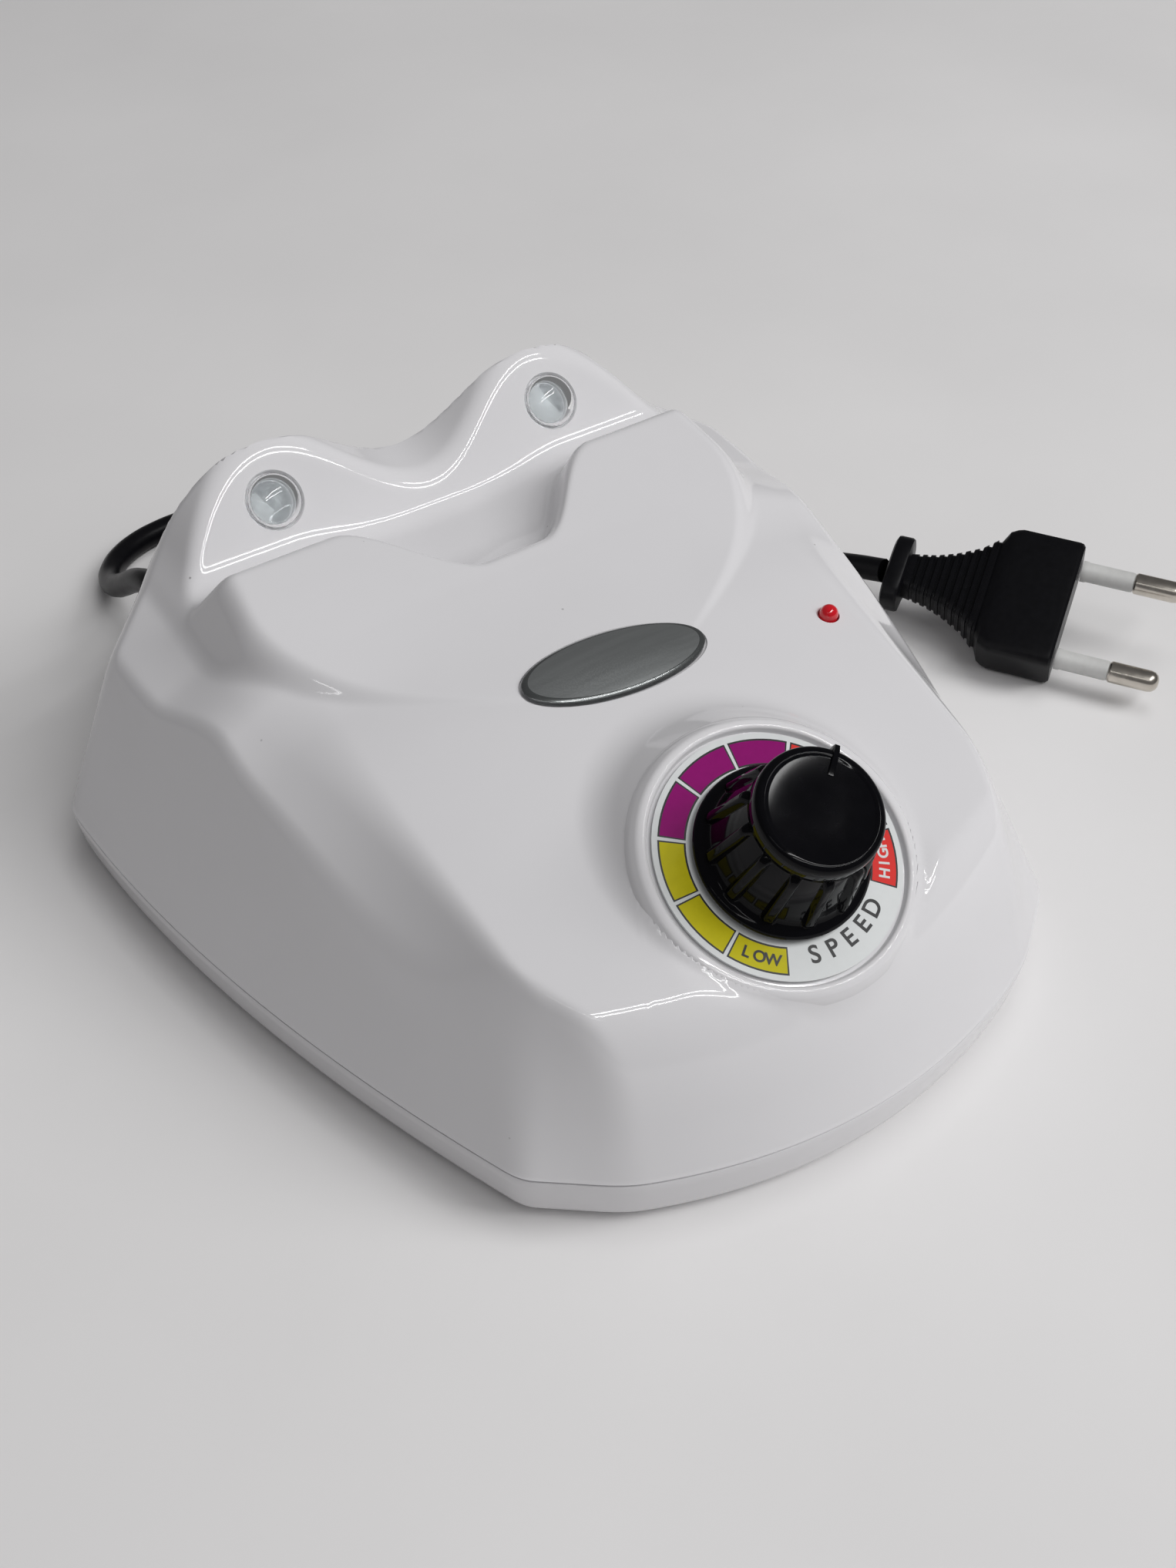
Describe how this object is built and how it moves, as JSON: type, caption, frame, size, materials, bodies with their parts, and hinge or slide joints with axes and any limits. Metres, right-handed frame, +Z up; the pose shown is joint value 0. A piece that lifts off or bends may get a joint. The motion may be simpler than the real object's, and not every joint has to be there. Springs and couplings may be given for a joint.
{
  "type": "electric nail drill",
  "caption": "Desktop control box of an electric nail drill with a speed dial on its sloping front, a rest for the handpiece on top, rear switches and sockets, and a mains lead with a flat plug.",
  "frame": {"origin": "on the table under the middle of the case", "axes": "+X to the right seen from the front, +Y from the dial towards the rear panel, +Z up"},
  "size_m": [0.1917, 0.1959, 0.0586],
  "materials": {
    "case_plastic": "gloss",
    "foot_rubber": "matte",
    "steel": "satin",
    "clear_bumper": "clear gloss",
    "plaque_metal": "satin",
    "dial_label": "printed, satin",
    "led_red": "gloss",
    "black_gloss": "gloss",
    "aluminium": "satin",
    "board": "satin",
    "cable": "satin",
    "fuse_glass": "clear",
    "core_steel": "matte",
    "copper": "satin",
    "pin_sleeve": "matte",
    "nickel": "polished nickel"
  },
  "bodies": {
    "case": {"top_cover": "case_plastic", "bottom_cover": "case_plastic", "foot_front_left": "foot_rubber", "foot_front_right": "foot_rubber", "foot_back_left": "foot_rubber", "foot_back_right": "foot_rubber", "cover_screw_1": "steel", "cover_screw_2": "steel", "cover_screw_3": "steel", "cover_screw_4": "steel", "bumper_left": "clear_bumper", "bumper_right": "clear_bumper", "name_plaque": "plaque_metal", "dial_label": "dial_label", "power_led": "led_red", "potentiometer_nut": "steel", "potentiometer_body": "aluminium", "power_switch_frame": "black_gloss", "direction_switch_frame": "black_gloss", "mode_switch_frame": "black_gloss", "handpiece_socket": "black_gloss", "handpiece_socket_nut": "steel", "pedal_socket": "black_gloss", "pedal_socket_nut": "steel", "circuit_board": "board", "board_screw_1": "steel", "board_screw_2": "steel", "board_screw_3": "steel", "board_screw_4": "steel", "smoothing_capacitor": "cable", "regulator_heatsink": "aluminium", "speed_regulator": "cable", "fuse": "fuse_glass", "terminal_block": "board", "transformer_core": "core_steel", "transformer_winding": "copper", "transformer_strap": "steel", "strap_screw_1": "steel", "strap_screw_2": "steel", "cord_bushing": "cable", "cord_lead_rear": "cable", "cord_lead_plug": "cable", "cord_coil": "cable", "plug_body": "cable", "plug_sleeve_1": "pin_sleeve", "plug_pin_1": "nickel", "plug_sleeve_2": "pin_sleeve", "plug_pin_2": "nickel"},
    "speed_control": {"speed_knob": "black_gloss", "potentiometer_shaft": "aluminium"},
    "power_rocker": {"power_switch_rocker": "black_gloss"},
    "direction_rocker": {"direction_switch_rocker": "black_gloss"},
    "mode_rocker": {"mode_switch_rocker": "black_gloss"}
  },
  "joints": [
    {"name": "knob_turn", "type": "hinge", "parent": "case", "child": "speed_control", "pos_m": [0, -0.0424, 0.0397], "axis": [0, -0.4399, 0.898], "range_deg": [-102, 197]},
    {"name": "power_rock", "type": "hinge", "parent": "case", "child": "power_rocker", "pos_m": [-0.015, 0.06303, 0.0268], "axis": [-1, 0, 0], "range_deg": [0, 20]},
    {"name": "direction_rock", "type": "hinge", "parent": "case", "child": "direction_rocker", "pos_m": [0.006, 0.06303, 0.0268], "axis": [-1, 0, 0], "range_deg": [0, 20]},
    {"name": "mode_rock", "type": "hinge", "parent": "case", "child": "mode_rocker", "pos_m": [0.027, 0.06303, 0.0268], "axis": [-1, 0, 0], "range_deg": [0, 20]}
  ]
}
